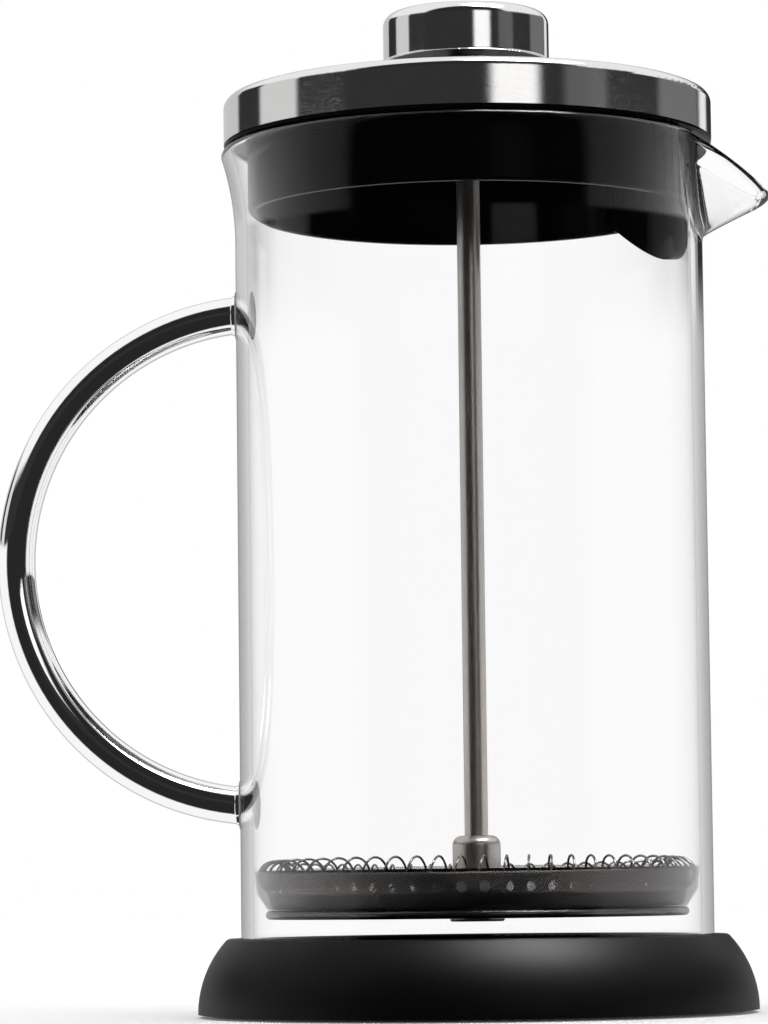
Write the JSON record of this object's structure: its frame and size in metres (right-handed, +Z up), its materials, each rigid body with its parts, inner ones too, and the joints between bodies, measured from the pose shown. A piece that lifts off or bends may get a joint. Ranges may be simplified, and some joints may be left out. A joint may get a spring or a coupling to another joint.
{
  "type": "french press",
  "caption": "Glass-beaker coffee press with a bonded steel tube handle, black base, steel-capped strainer lid and a spring-edged plunger filter.",
  "frame": {"origin": "centre of the foot pad's underside, on the beaker's axis", "axes": "+Z up along the beaker's axis; +X towards the spout, -X towards the handle"},
  "size_m": [0.1673, 0.1186, 0.2139],
  "materials": {
    "beaker_glass": "clear borosilicate, fire polished",
    "base_plastic": "fine satin moulding",
    "foot_rubber": "matte anti-slip",
    "cushion_rubber": "matte",
    "handle_steel": "polished stainless tube",
    "foot_steel": "polished",
    "bond_adhesive": "cured clear-grey adhesive",
    "lid_plastic": "glossy moulding",
    "cap_steel": "bright drawn stainless, lightly brushed",
    "bush_steel": "turned",
    "rod_steel": "bright drawn rod",
    "knob_steel": "bright drawn stainless, lightly brushed",
    "knob_plastic": "moulded",
    "insert_brass": "turned",
    "filter_steel": "stamped",
    "screen_mesh": "woven fine wire",
    "spring_wire": "drawn wire",
    "hub_steel": "turned"
  },
  "bodies": {
    "beaker": {"glass_beaker": "beaker_glass", "base_shell": "base_plastic", "base_foot_pad": "foot_rubber", "base_cushion_ring": "cushion_rubber", "handle_tube": "handle_steel", "upper_handle_foot": "foot_steel", "lower_handle_foot": "foot_steel", "upper_bond_pad": "bond_adhesive", "lower_bond_pad": "bond_adhesive"},
    "lid": {"lid_body": "lid_plastic", "lid_cap": "cap_steel", "rod_guide_bush": "bush_steel", "guide_bush_nut": "bush_steel"},
    "plunger": {"plunger_rod": "rod_steel"},
    "knob": {"knob_shell": "knob_steel", "knob_core": "knob_plastic", "knob_thread_insert": "insert_brass", "knob_collar": "bush_steel"},
    "filter": {"filter_nut": "filter_steel", "cross_plate": "filter_steel", "mesh_screen": "screen_mesh", "spiral_plate": "filter_steel", "edge_spring": "spring_wire", "filter_hub": "hub_steel"}
  },
  "joints": [
    {"name": "lid_lift", "type": "slide", "parent": "beaker", "child": "lid", "axis": [0, 0, 1], "range_m": [0, 0.17]},
    {"name": "plunger_slide", "type": "slide", "parent": "lid", "child": "plunger", "axis": [0, 0, 1], "range_m": [0, 0.1265]},
    {"name": "knob_turn", "type": "hinge", "parent": "plunger", "child": "knob", "pos_m": [0, 0, 0.2085], "axis": [0, 0, 1], "continuous": true},
    {"name": "filter_turn", "type": "hinge", "parent": "plunger", "child": "filter", "pos_m": [0, 0, 0.0225], "axis": [0, 0, 1], "continuous": true}
  ]
}
